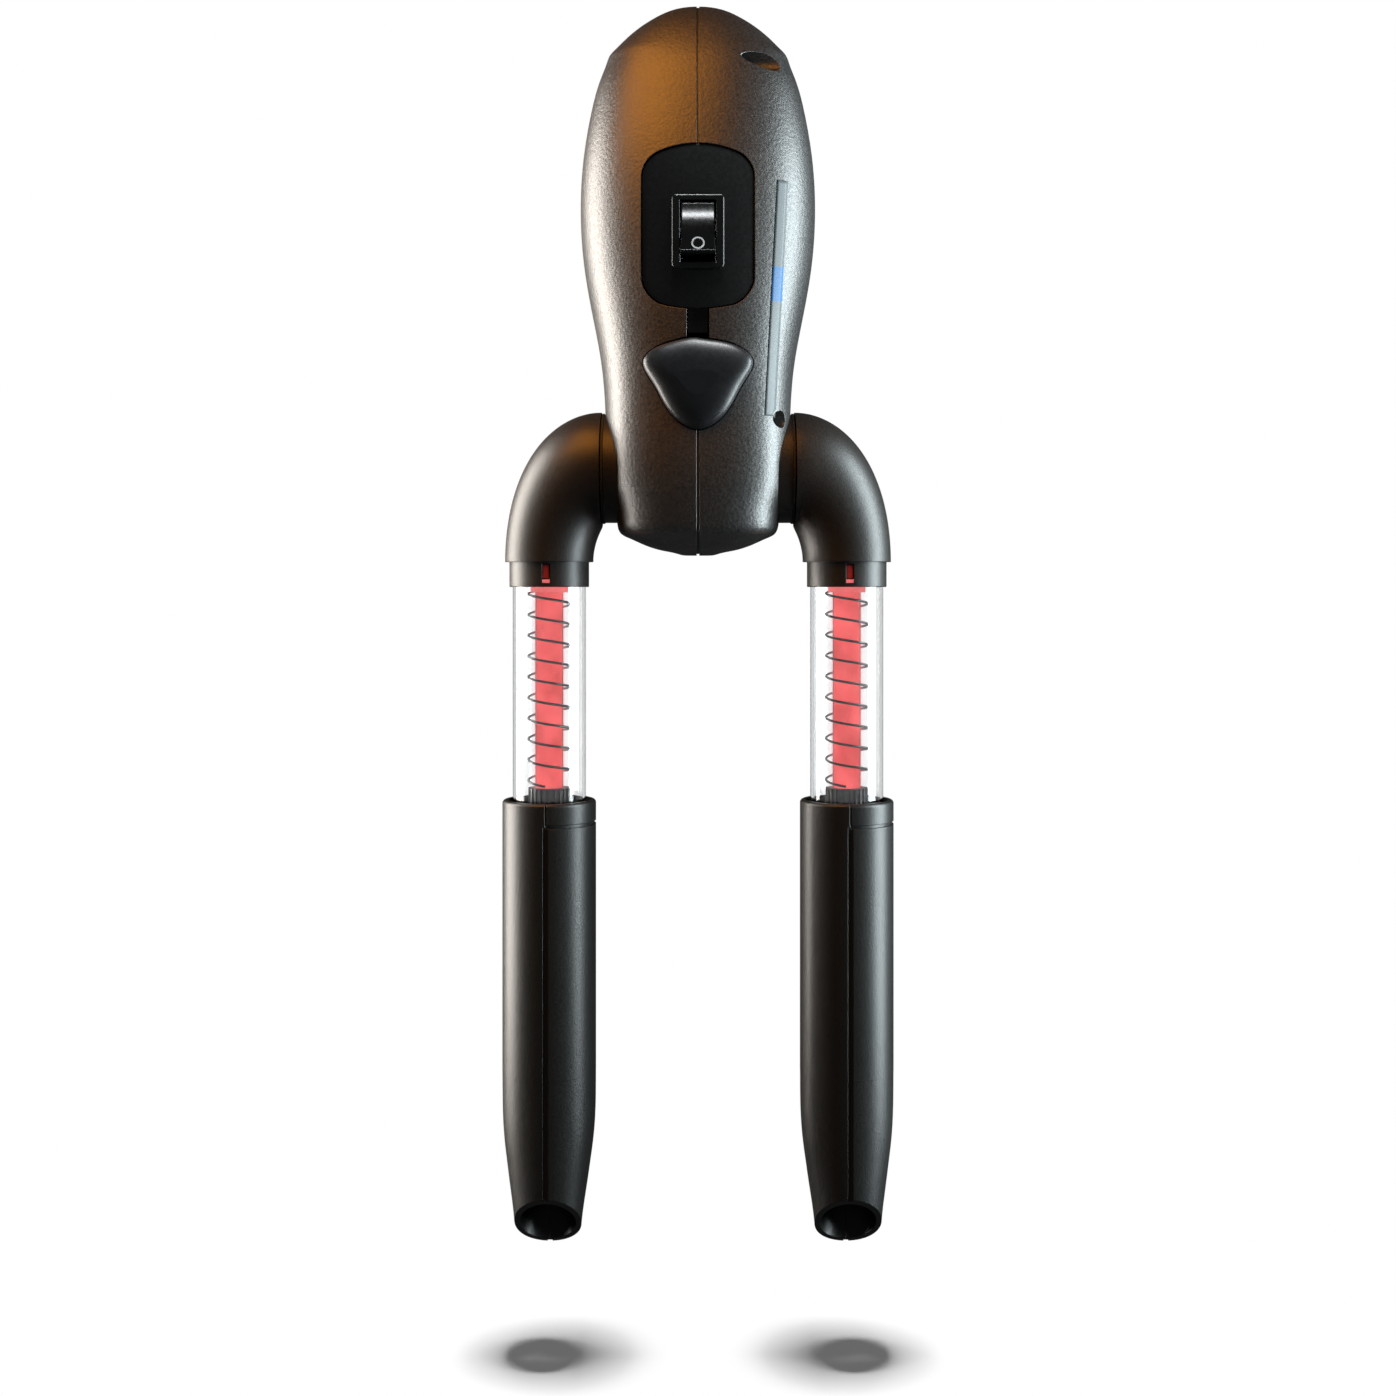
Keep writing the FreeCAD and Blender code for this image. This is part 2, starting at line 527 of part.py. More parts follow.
def nozzle_form(inset):
    """A nozzle's outer form round the Z axis, or its bore when drawn in by inset."""
    wires = []
    for z, half_x, rear in TIP:
        middle, half_y = (rear - TIP_FRONT) / 2, (rear + TIP_FRONT) / 2
        wires.append(ellipse(middle, z, half_x - inset, half_y - inset))
    return Part.makeLoft(wires, True, False)


def ellipse(y, z, half_x, half_y):
    """A level ellipse's wire, starting on its +X side."""
    points = []
    for i in range(16):
        a = 2 * math.pi * i / 16
        points.append(V(half_x * math.cos(a), y + half_y * math.sin(a), z))
    return closed_curve(points)


def seam_strip(half_width, depth, top, bottom):
    """A strip down the nozzle's front and back that reaches depth into its wall."""
    fronts = [V(0, -NOZZLE_R + depth, z) for z in (top, bottom)]
    rears = [V(0, NOZZLE_R - depth, top)]
    rears += [V(0, rear - depth, z) for z, _, rear in TIP if bottom < z < top]
    rears.append(V(0, rears[-1].y, bottom))
    front = Part.makePolygon([V(0, -30, top)] + fronts + [V(0, -30, bottom), V(0, -30, top)])
    rear = Part.makePolygon([V(0, 30, top)] + rears + [V(0, 30, bottom), V(0, 30, top)])
    strips = []
    for outline in (front, rear):
        outline.translate(V(-half_width, 0, 0))
        strips.append(Part.Face(outline).extrude(V(2 * half_width, 0, 0)))
    return strips


def nozzle_body():
    """One nozzle round the Z axis, before it is split down its middle."""
    straight = cyl(NOZZLE_R, (0, 0, STRAIGHT_END_Z), Z, RIM_Z - STRAIGHT_END_Z)
    straight = rounded(straight, 1.0, lambda e: e.BoundBox.ZMin > RIM_Z - 0.1)
    wall = NOZZLE_R - NOZZLE_BORE
    bore = cyl(NOZZLE_BORE, (0, 0, STRAIGHT_END_Z), Z, RIM_Z + 5 - STRAIGHT_END_Z)
    mouth = block((-30, 30), (-60, 60), (-60, 0))
    mouth.rotate(V(0, 0, 0), X, MOUTH_ANGLE)
    mouth.translate(V(0, -NOZZLE_R, MOUTH_FRONT_Z))
    tip = nozzle_form(0).cut([nozzle_form(wall), mouth])
    lip = tube(NOZZLE_BORE + 0.4, LIP_R, (0, 0, -106.8), Z, 2.3)
    body = straight.cut(bore).fuse([tip, lip])
    return body.cut(seam_strip(NOZZLE_SEAM_HALF, NOZZLE_SEAM_DEPTH, GROOVE_Z, -240.0)
                    + seam_strip(0.2, NOZZLE_SEAM_DEPTH, RIM_Z + 1, GROOVE_Z))


def nozzle_shells():
    body = nozzle_body()
    ring_groove = tube(NOZZLE_R + 1, NOZZLE_R - 0.6, (0, 0, GROOVE_Z - 0.5), Z, 1.0)
    halves = {"left": body.common(block((-30, 0), (-40, 40), (-260, -90))),
              "right": body.common(block((0, 30), (-40, 40), (-260, -90))).cut(ring_groove)}
    for name, side in (("left", -1), ("right", 1)):
        for half, shape in halves.items():
            shell = shape.copy()
            shell.translate(V(side * LEG_X, 0, 0))
            parts[f"{name}_nozzle_{half}_shell"] = shell


def wiring():
    """Leads from the board to the switch, the motor and the heater."""
    routes = [
        [(-9, 2.2, 82), (-9, -1.0, 80), (-3, -0.8, 74), (0, -0.7, 73)],
        [(9, 2.2, 82), (9, -1.0, 79), (7.5, -1.0, 64), (0.5, -0.7, 61)],
        [(-13, 5.4, 90), (-13, 11, 84), (-15, 13, 66), (-15.2, 13.4, 58)],
        [(13, 5.4, 90), (13, 11, 84), (15, 13, 66), (15.2, 13.4, 58)],
    ]
    leads = []
    for route in routes:
        points = [V(*p) for p in route]
        pieces = [Part.makeSphere(0.7, p) for p in points[1:-1]]
        for start, end in zip(points, points[1:]):
            pieces.append(Part.makeCylinder(0.7, (end - start).Length, start, end - start))
        leads.append(pieces[0].fuse(pieces[1:]))
    parts["wiring"] = Part.makeCompound(leads)


def main():
    outer, inner = housing_solid(0), housing_solid(WALL)
    housing_shells(outer, inner)
    housing_screws()
    control_panel(housing_solid(0.4), housing_solid(3.4))
    shield_button()
    rocker_switch()
    rocker()
    blower()
    heater()
    air_manifold()
    electrics()
    for name, side in (("left", -1), ("right", 1)):
        elbow(name, side)
        hub(name, side)
        hose_parts(name, side)
    nozzle_shells()
    wiring()
    os.makedirs("parts", exist_ok=True)
    for name, shape in parts.items():
        print(name, shape.isValid(), round(shape.Volume / 1000, 3), "cm3", len(shape.Solids))
        shape.exportStep(f"parts/{name}.step")


main()
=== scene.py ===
import json
import math

import bmesh
import bpy
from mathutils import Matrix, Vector


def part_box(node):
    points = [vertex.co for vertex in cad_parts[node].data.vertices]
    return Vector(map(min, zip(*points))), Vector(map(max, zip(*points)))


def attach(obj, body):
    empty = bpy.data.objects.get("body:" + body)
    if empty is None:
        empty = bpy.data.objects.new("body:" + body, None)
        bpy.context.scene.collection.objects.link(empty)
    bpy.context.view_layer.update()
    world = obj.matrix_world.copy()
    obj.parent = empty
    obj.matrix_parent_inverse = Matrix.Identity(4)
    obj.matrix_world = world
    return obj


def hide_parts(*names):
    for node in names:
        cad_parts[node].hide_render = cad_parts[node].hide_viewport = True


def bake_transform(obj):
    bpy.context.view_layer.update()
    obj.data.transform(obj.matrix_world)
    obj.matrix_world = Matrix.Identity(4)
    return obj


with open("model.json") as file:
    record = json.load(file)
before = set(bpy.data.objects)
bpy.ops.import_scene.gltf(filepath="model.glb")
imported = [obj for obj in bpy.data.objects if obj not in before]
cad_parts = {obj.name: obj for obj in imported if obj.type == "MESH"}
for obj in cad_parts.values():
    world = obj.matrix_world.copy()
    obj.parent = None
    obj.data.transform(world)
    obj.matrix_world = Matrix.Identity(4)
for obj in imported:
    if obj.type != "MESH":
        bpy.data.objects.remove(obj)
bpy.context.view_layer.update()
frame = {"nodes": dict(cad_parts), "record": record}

MM = 0.001
SIDES = {"left": -1, "right": 1}


def span(node):
    """Lowest corner, highest corner and middle of a CAD node."""
    low, high = (Vector(corner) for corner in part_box(node))
    return low, high, (low + high) / 2


# ---- places worked out from the frame ------------------------------------------------------
HOSE_LOW, HOSE_HIGH, HOSE_MIDDLE = span("right_hose")
LEG_X = HOSE_MIDDLE.x
HOSE_R = (HOSE_HIGH.x - HOSE_LOW.x) / 2
HOSE_WALL = 0.8 * MM
RIM_Z = span("right_nozzle_left_shell")[1].z
TIP_Z = span("right_nozzle_left_shell")[0].z
FLOOR_DROP = 33 * MM
FLOOR_Z = TIP_Z - FLOOR_DROP
WIRE_R, WIRE_PITCH, COIL_R = 0.38 * MM, 6.2 * MM, 6.2 * MM
WIRE_TOP_GAP, WIRE_LOW_END = 3.0 * MM, 4.4 * MM     # below the hose's top, above the nozzle's rim
WIRE_START_TURN = 0.28
GLOW_RADII = (5.5 * MM, 4.65 * MM, 4.2 * MM, 3.8 * MM)  # halo to core of a hose's red light
GLOW_WALL = 0.3 * MM


# ---- small node-building helpers -----------------------------------------------------------
class Material:
    """A material with one Principled shader and short calls to wire nodes into it."""

    def __init__(self, name):
        self.material = bpy.data.materials.new(name)
        self.material.use_nodes = True
        self.tree = self.material.node_tree
        self.shader = self.tree.nodes["Principled BSDF"]

    def node(self, kind, inputs=(), **settings):
        made = self.tree.nodes.new(kind)
        for name, value in settings.items():
            setattr(made, name, value)
        for name, value in dict(inputs).items():
            self.put(value, made.inputs[name])
        return made

    def put(self, value, socket):
        if isinstance(value, bpy.types.NodeSocket):
            self.tree.links.new(value, socket)
        else:
            socket.default_value = value

    def set(self, **inputs):
        for name, value in inputs.items():
            self.put(value, self.shader.inputs[name.replace("_", " ")])
        return self

    def place(self):
        return self.node("ShaderNodeTexCoord").outputs["Object"]

    def noise(self, scale, detail=3.0, roughness=0.55):
        inputs = {"Vector": self.place(), "Scale": scale, "Detail": detail, "Roughness": roughness}
        return self.node("ShaderNodeTexNoise", inputs).outputs["Fac"]

    def cells(self, scale):
        inputs = {"Vector": self.place(), "Scale": scale}
        return self.node("ShaderNodeTexVoronoi", inputs).outputs["Distance"]

    def remap(self, value, low, high, to_low, to_high):
        inputs = {"Value": value, "From Min": low, "From Max": high,
                  "To Min": to_low, "To Max": to_high}
        return self.node("ShaderNodeMapRange", inputs).outputs["Result"]

    def ramp(self, value, stops):
        """A colour ramp. Its stops are given from lowest to highest."""
        made = self.node("ShaderNodeValToRGB", {"Fac": value})
        elements = made.color_ramp.elements
        elements[1].position, elements[0].position = stops[-1][0], stops[0][0]
        elements[0].color, elements[1].color = (*stops[0][1], 1), (*stops[-1][1], 1)
        for position, colour in stops[1:-1]:
            elements.new(position).color = (*colour, 1)
        return made.outputs["Color"]

    def math(self, operation, a, b=0.0):
        made = self.node("ShaderNodeMath", operation=operation)
        self.put(a, made.inputs[0])
        self.put(b, made.inputs[1])
        return made.outputs["Value"]

    def bump(self, height, strength, distance, under=None):
        made = self.node("ShaderNodeBump", {"Height": height, "Strength": strength,
                                            "Distance": distance})
        if under is not None:
            self.put(under, made.inputs["Normal"])
        return made.outputs["Normal"]

    def soft_edges(self, radius):
        return self.node("ShaderNodeBevel", {"Radius": radius}, samples=4).outputs["Normal"]


# ---- materials -----------------------------------------------------------------------------
def grained_plastic(name, dark, light, roughness, specular, grain_scale, grain_depth):
    """Moulded plastic with a spark-eroded grain: fine pits over a slow drift in tone."""
    m = Material(name)
    drift = m.noise(38.0, 2.0)
    grain = m.noise(grain_scale, 4.0, 0.68)
    pits = m.cells(grain_scale * 0.62)
    tone = m.math("ADD", m.math("MULTIPLY", drift, 0.3), m.math("MULTIPLY", grain, 0.7))
    m.set(Base_Color=m.ramp(tone, [(0.34, dark), (0.66, light)]))
    m.set(Roughness=m.remap(grain, 0.3, 0.7, roughness - 0.07, roughness + 0.09))
    height = m.math("ADD", grain, m.math("MULTIPLY", pits, 0.6))
    m.set(Normal=m.bump(height, 0.55, grain_depth, m.soft_edges(0.35 * MM)))
    m.shader.inputs["Specular IOR Level"].default_value = specular
    return m


def smooth_plastic(name, colour, roughness, wave=0.02 * MM, edge=0.3 * MM):
    """Polished or satin plastic with faint moulding waves, hairline scuffs and dust."""
    m = Material(name)
    slow = m.noise(55.0, 1.0)
    scuffs = m.noise(900.0, 6.0, 0.75)
    lighter = tuple(min(1.0, channel * 1.15 + 0.0003) for channel in colour)
    m.set(Base_Color=m.ramp(scuffs, [(0.4, colour), (0.8, lighter)]))
    m.set(Roughness=m.remap(scuffs, 0.35, 0.75, roughness, roughness + 0.1))
    m.set(Normal=m.bump(slow, 0.3, wave, m.soft_edges(edge)))
    return m


def metal(name, colour, roughness, scale=700.0):
    m = Material(name)
    brushed = m.noise(scale, 5.0, 0.7)
    darker = tuple(channel * 0.7 for channel in colour)
    m.set(Base_Color=m.ramp(brushed, [(0.3, darker), (0.7, colour)]), Metallic=1.0)
    m.set(Roughness=m.remap(brushed, 0.3, 0.7, roughness - 0.05, roughness + 0.12))
    m.set(Normal=m.bump(brushed, 0.25, 0.02 * MM, m.soft_edges(0.15 * MM)))
    return m


def clear_vinyl():
    """Clear flexible hose wall, with painted grey shade towards its edges and one painted
    highlight line in it.
    """
    m = Material("clear_vinyl")
    stretched = m.node("ShaderNodeMapping", {"Vector": m.place(), "Scale": (900.0, 900.0, 22.0)})
    inputs = {"Vector": stretched.outputs["Vector"], "Scale": 1.0, "Detail": 2.0}
    streaks = m.node("ShaderNodeTexNoise", inputs).outputs["Fac"]
    cloud = m.noise(120.0, 3.0)
    edge = m.node("ShaderNodeLayerWeight", {"Blend": 0.5}).outputs["Facing"]
    wavering = m.math("ADD", edge, m.remap(cloud, 0.3, 0.7, -0.015, 0.015))
    # painted shade and a painted highlight: the wall goes grey, with one pale line, as its surface
    # turns away from facing the view
    grey, pale, clear = (0.60, 0.62, 0.63), (0.80, 0.82, 0.83), (0.98, 0.985, 0.99)
    m.set(Base_Color=m.ramp(wavering, [(0.30, clear), (0.37, pale), (0.45, pale), (0.49, clear),
                                       (0.53, clear), (0.58, grey), (0.85, grey)]))
    m.set(Roughness=m.remap(cloud, 0.35, 0.7, 0.01, 0.05))
    m.set(Normal=m.bump(streaks, 0.08, 0.04 * MM))
    m.shader.inputs["Transmission Weight"].default_value = 1.0
    m.shader.inputs["IOR"].default_value = 1.42
    return m


def glow(name, colour, strength, alpha):
    """One layer of the hose's red light. Its brightness wavers a little along the hose."""
    m = Material(name)
    waver = m.remap(m.noise(95.0, 2.0), 0.35, 0.65, 0.8, 1.15)
    dim = tuple(channel * 0.02 for channel in colour)
    m.set(Base_Color=(*dim, 1), Emission_Color=(*colour, 1), Roughness=0.7)
    m.set(Emission_Strength=m.math("MULTIPLY", waver, strength))
    m.set(Alpha=m.math("MULTIPLY", waver, alpha))
    return m


def printed(name, thin, full):
    """Pad-printed ink, a little thinner in places."""
    m = Material(name)
    speckle = m.noise(2500.0, 3.0)
    m.set(Base_Color=m.ramp(speckle, [(0.3, thin), (0.6, full)]))
    m.set(Roughness=m.remap(speckle, 0.3, 0.7, 0.4, 0.6))
    return m


FINISHES = {
    "housing_plastic": grained_plastic("charcoal_grain", (0.004, 0.004, 0.0042),
                                       (0.026, 0.025, 0.0245), 0.41, 1.0, 1500.0, 0.13 * MM),
    "elbow_plastic": grained_plastic("elbow_matte_black", (0.007, 0.006, 0.005),
                                     (0.016, 0.014, 0.012), 0.42, 0.55, 2300.0, 0.04 * MM),
    "nozzle_plastic": grained_plastic("nozzle_matte_black", (0.004, 0.0042, 0.0042),
                                      (0.011, 0.0115, 0.011), 0.40, 0.5, 2300.0, 0.05 * MM),
    "panel_plastic": smooth_plastic("panel_satin_black", (0.005, 0.005, 0.005), 0.26),
    "button_plastic": smooth_plastic("button_satin_black", (0.007, 0.007, 0.008), 0.34),
    "rocker_plastic": smooth_plastic("rocker_gloss_black", (0.006, 0.006, 0.006), 0.14),
    "switch_plastic": smooth_plastic("bezel_gloss_black", (0.006, 0.006, 0.006), 0.16),
    "black_inner_plastic": smooth_plastic("inner_black", (0.02, 0.02, 0.02), 0.5),
    "heater_frame_plastic": smooth_plastic("heat_proof_resin", (0.6, 0.56, 0.45), 0.5),
    "board": smooth_plastic("solder_mask_green", (0.015, 0.12, 0.04), 0.3),
    "wire_insulation": smooth_plastic("red_insulation", (0.35, 0.03, 0.02), 0.4),
    "seal_rubber": smooth_plastic("seal_black_rubber", (0.012, 0.012, 0.012), 0.65),
    "screw_steel": metal("blackened_steel", (0.09, 0.09, 0.095), 0.42),
    "motor_steel": metal("motor_can_steel", (0.6, 0.6, 0.61), 0.32),
    "heater_aluminium": metal("fin_aluminium", (0.8, 0.8, 0.81), 0.35),
    "contact_brass": metal("contact_brass", (0.8, 0.62, 0.3), 0.3),
    "lamp_glass": glow("lamp_red", (1.0, 0.2, 0.16), 3.0, 1.0),
    "spiral_wire": smooth_plastic("wire_black", (0.012, 0.012, 0.013), 0.35, edge=0.05 * MM),
}


def dress_nodes():
    """Gives every CAD node the finish of its material slot."""
    slots = {part["node"]: part["material_slot"] for part in frame["record"]["subparts"]}
    for name, node in frame["nodes"].items():
        finish = LIT_BY_LAMP.get(name.split("_", 1)[-1], FINISHES.get(slots[name]))
        if finish is None:
            continue
        for socket in node.material_slots:
            socket.material = finish.material


# ---- mesh helpers --------------------------------------------------------------------------
def add_object(name, mesh, materials, body=None):
    made = bpy.data.objects.new(name, mesh)
    bpy.context.scene.collection.objects.link(made)
    for material in materials:
        mesh.materials.append(material.material)
    for polygon in mesh.polygons:
        polygon.use_smooth = True
    if body:
        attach(made, body)
    return made


def lathe(name, profiles, centre_x, materials, around=72):
    """Closed rings of (radius, z) points turned round a leg's axis, one material per profile."""
    grid = bmesh.new()
    for index, profile in enumerate(profiles):
        rings = []
        for radius, z in profile:
            ring = []
            for i in range(around):
                a = 2 * math.pi * i / around
                ring.append(grid.verts.new((centre_x + radius * math.cos(a),
                                            radius * math.sin(a), z)))
            rings.append(ring)
        for lower, upper in zip(rings, rings[1:] + rings[:1]):
            for i in range(around):
                j = (i + 1) % around
                face = grid.faces.new((lower[i], lower[j], upper[j], upper[i]))
                face.material_index = index
    bmesh.ops.recalc_face_normals(grid, faces=grid.faces)
    mesh = bpy.data.meshes.new(name)
    grid.to_mesh(mesh)
    grid.free()
    return add_object(name, mesh, materials)


def steps(start, end, count):
    return [start + (end - start) * i / count for i in range(count + 1)]


# ---- hoses ---------------------------------------------------------------------------------
def shell_profile(outer, inner, top, bottom, count):
    """The wall of a tube as one closed loop of (radius, z) points."""
    down = [(outer, z) for z in steps(top, bottom, count)]
    return down + [(inner, z) for z in reversed([z for _, z in down])]


def helix_mesh(name, centre_x, top, bottom):
    """The spiral wire as a swept round section with closed ends."""
    turns = (top - bottom) / WIRE_PITCH
    around, along = 8, int(turns * 48)
    grid = bmesh.new()
    rings = []
    for i in range(along + 1):
        a = 2 * math.pi * (turns * i / along + WIRE_START_TURN)
        out = Vector((math.cos(a), math.sin(a), 0))
        centre = Vector((centre_x, 0, top - (top - bottom) * i / along)) + COIL_R * out
        ring = []
        for k in range(around):
            b = 2 * math.pi * k / around
            ring.append(grid.verts.new(centre + WIRE_R * (math.cos(b) * out
                                                          + math.sin(b) * Vector((0, 0, 1)))))
        rings.append(ring)
    for lower, upper in zip(rings, rings[1:]):
        for k in range(around):
            j = (k + 1) % around
            grid.faces.new((lower[k], lower[j], upper[j], upper[k]))
    grid.faces.new(rings[0])
    grid.faces.new(reversed(rings[-1]))
    bmesh.ops.recalc_face_normals(grid, faces=grid.faces)
    mesh = bpy.data.meshes.new(name)
    grid.to_mesh(mesh)
    grid.free()
    return mesh


def make_hose(side_name):
    """Clear hose, its wire and its red light, bending between the elbow and the hose's end."""
    x = SIDES[side_name] * LEG_X
    top, bottom = HOSE_HIGH.z, HOSE_LOW.z
    profile = shell_profile(HOSE_R, HOSE_R - HOSE_WALL, top, bottom, 80)
    wall = lathe(f"{side_name}_clear_hose", [profile], x, [CLEAR_VINYL], around=96)
    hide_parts(f"{side_name}_hose")
    wire_mesh = helix_mesh(f"{side_name}_spiral_wire", x, top - WIRE_TOP_GAP,
                           RIM_Z + WIRE_LOW_END)
    wire = add_object(f"{side_name}_spiral_wire", wire_mesh, [FINISHES["spiral_wire"]])
    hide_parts(f"{side_name}_hose_wire")
    guide_low, guide_high, _ = span(f"{side_name}_light_guide")
    profiles = [shell_profile(radius, radius - GLOW_WALL, guide_high.z, guide_low.z, 60)
                for radius in GLOW_RADII]
    light = lathe(f"{side_name}_red_light", profiles, x, GLOW_LAYERS, around=48)
    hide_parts(f"{side_name}_light_guide")
    for piece in (wall, wire, light):
        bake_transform(piece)


# ---- printed mark on the rocker ------------------------------------------------------------
OFF_MARK_DROP = 4.4 * MM                # below the rocker's middle
OFF_MARK_OUTER_R, OFF_MARK_INNER_R = 1.9 * MM, 1.45 * MM
OFF_MARK_SUNK, OFF_MARK_PROUD = -0.1 * MM, 0.06 * MM
RAY_START_Y = -0.2                      # well in front of the object


def on_surface(node, x, z):
    """The first point of a CAD node met when coming from the front, and its normal."""
    start, backwards = Vector((x, RAY_START_Y, z)), Vector((0, 1, 0))
    found, point, normal, _ = frame["nodes"][node].ray_cast(start, backwards)
    assert found, f"nothing of {node} at {x}, {z}"
    return point, normal


def circle(radius, count=48):
    angles = [2 * math.pi * i / count for i in range(count)]
    return [(radius * math.cos(a), radius * math.sin(a)) for a in angles]


def off_mark():
    """The printed O: a thin ring that follows the rocker's hollowed face."""
    centre_z = span("rocker")[2].z - OFF_MARK_DROP
    grid = bmesh.new()
    loops = []
    for radius in (OFF_MARK_OUTER_R, OFF_MARK_INNER_R):
        line = [on_surface("rocker", u, centre_z + v) for u, v in circle(radius)]
        for height in (OFF_MARK_SUNK, OFF_MARK_PROUD):
            loops.append([grid.verts.new(point + normal * height) for point, normal in line])
    outer_low, outer_high, hole_low, hole_high = loops
    count = len(outer_low)
    for i in range(count):
        j = (i + 1) % count
        grid.faces.new((outer_low[i], outer_low[j], outer_high[j], outer_high[i]))
        grid.faces.new((hole_low[j], hole_low[i], hole_high[i], hole_high[j]))
        grid.faces.new((outer_high[i], outer_high[j], hole_high[j], hole_high[i]))
        grid.faces.new((outer_low[j], outer_low[i], hole_low[i], hole_low[j]))
    bmesh.ops.recalc_face_normals(grid, faces=grid.faces)
    mesh = bpy.data.meshes.new("off_mark")
    grid.to_mesh(mesh)
    grid.free()
    mark = add_object("off_mark", mesh, [PRINTED_WHITE], "rocker")
    for polygon in mesh.polygons:
        polygon.use_smooth = False
    bpy.data.collections["switch"].objects.link(mark)


# ---- stripe on the right flank -------------------------------------------------------------
STRIPE_LOW, STRIPE_HIGH, STRIPE_WIDTH = 14 * MM, 82 * MM, 3.4 * MM
STRIPE_LOW_X, STRIPE_HIGH_X = 20.8 * MM, 24.4 * MM
STRIPE_SUNK, STRIPE_PROUD = -0.12 * MM, 0.03 * MM
BLUE_LOW, BLUE_HIGH = 47 * MM, 57 * MM


def flank_stripe():
    """A plain printed stripe, grey with a blue stretch, that follows the housing's surface."""
    rows, columns = 68, 5
    grid = bmesh.new()
    layers = ([], [])
    for i in range(rows + 1):
        share = i / rows
        z = STRIPE_LOW + (STRIPE_HIGH - STRIPE_LOW) * share
        middle = STRIPE_LOW_X + (STRIPE_HIGH_X - STRIPE_LOW_X) * share
        for layer, height in zip(layers, (STRIPE_SUNK, STRIPE_PROUD)):
            line = []
            for j in range(columns):
                x = middle + STRIPE_WIDTH * (j / (columns - 1) - 0.5)
                point, normal = on_surface("right_housing_shell", x, z)
                line.append(grid.verts.new(point + normal * height))
            layer.append(line)
    low, high = layers
    for i in range(rows):
        blue = BLUE_LOW < STRIPE_LOW + (STRIPE_HIGH - STRIPE_LOW) * (i + 0.5) / rows < BLUE_HIGH
        quads = [(high[i][j], high[i][j + 1], high[i + 1][j + 1], high[i + 1][j])
                 for j in range(columns - 1)]
        quads += [(low[i][j + 1], low[i][j], low[i + 1][j], low[i + 1][j + 1])
                  for j in range(columns - 1)]
        quads += [(low[i][j], high[i][j], high[i + 1][j], low[i + 1][j])
                  for j in (0, columns - 1)]
        for quad in quads:
            grid.faces.new(quad).material_index = int(blue)
    for i in (0, rows):
        for j in range(columns - 1):
            grid.faces.new((low[i][j], low[i][j + 1], high[i][j + 1], high[i][j]))
    bmesh.ops.recalc_face_normals(grid, faces=grid.faces)
    mesh = bpy.data.meshes.new("flank_stripe")
    grid.to_mesh(mesh)
    grid.free()
    stripe = add_object("flank_stripe", mesh, [PRINTED_GREY, PRINTED_BLUE], "housing")


# ---- studio --------------------------------------------------------------------------------
CAMERA_DISTANCE, SENSOR_WIDTH = 0.525, 36.0
FRAME_HEIGHT = 0.4188               # what the picture takes in at the object's middle plane
CAMERA_Z, MIDDLE_Z = -0.036, -0.0687    # the camera looks level, and its shift lowers the view


def make_camera():
    data = bpy.data.cameras.new("camera")
    data.sensor_width = SENSOR_WIDTH
    data.lens = data.sensor_width * CAMERA_DISTANCE / FRAME_HEIGHT
    camera = bpy.data.objects.new("camera", data)
    bpy.context.scene.collection.objects.link(camera)
    data.shift_y = (MIDDLE_Z - CAMERA_Z) / FRAME_HEIGHT
    camera.location = (0, -CAMERA_DISTANCE, CAMERA_Z)
    camera.rotation_euler = (math.radians(90), 0, 0)
    bpy.context.scene.camera = camera


def area_light(name, place, target, size, power, colour, lit):
    """A soft rectangular lamp that lights what the collection lit allows."""
    data = bpy.data.lights.new(name, "AREA")
    data.shape = "RECTANGLE"
    data.size, data.size_y = size
    data.energy = power
    data.color = colour
    light = bpy.data.objects.new(name, data)
    bpy.context.scene.collection.objects.link(light)
    light.location = place
    direction = Vector(target) - Vector(place)
    light.rotation_euler = direction.to_track_quat("-Z", "Y").to_euler()
    light.visible_camera = False
    light.light_linking.receiver_collection = lit
    return light


def make_lights(floor):
    """Tall softboxes at both sides, a warm lamp over the front, and lamps of their own for the
    pad with the panel, for the rocker and for the floor, where only the legs throw a shadow."""
    floor_only = bpy.data.collections.new("floor_only")
    floor_only.objects.link(floor)
    all_but_floor = bpy.data.collections.new("all_but_floor")
    all_but_floor.objects.link(floor)
    all_but_floor.collection_objects[0].light_linking.link_state = "EXCLUDE"
    warmed, shield, switch = [bpy.data.collections.new(name)
                              for name in ("warmed", "shield", "switch")]
    legs = bpy.data.collections.new("legs")
    for name, node in frame["nodes"].items():
        if name == "rocker":
            switch.objects.link(node)
        elif name.startswith(("shield", "rocker", "control_panel")):
            shield.objects.link(node)
        else:
            warmed.objects.link(node)
        if "nozzle" in name or "socket" in name or name.endswith("_elbow"):
            legs.objects.link(node)
    area_light("softbox_left", (-0.49, 0.10, 0.0), (0, 0, -0.03), (0.3, 0.6), 9.0,
               (1.0, 0.94, 0.86), all_but_floor)
    area_light("softbox_right", (0.5, -0.06, 0.0), (0, 0, -0.03), (0.24, 0.62), 9.0,
               (0.84, 0.96, 1.0), all_but_floor)
    area_light("warm_lamp", (-0.15, -0.2, 0.34), (-0.01, 0, 0.1), (0.34, 0.3), 1.8,
               (1.0, 0.36, 0.05), warmed)
    area_light("shield_lamp", (0.04, -0.12, 0.42), (0, 0, 0.04), (0.2, 0.1), 2.2,
               (0.95, 0.98, 1.0), shield)
    area_light("switch_lamp", (0.0, -0.4, 0.14), (0, 0, 0.066), (0.1, 0.05), 0.5,
               (0.95, 0.98, 1.0), switch)
    floor_lamp = area_light("floor_lamp", (0.0, 0.0, 1.6), (0, 0, 0), (0.2, 0.2), 44.0,
                            (1.0, 1.0, 1.0), floor_only)
    floor_lamp.light_linking.blocker_collection = legs


WORLD_STRENGTH = 0.05


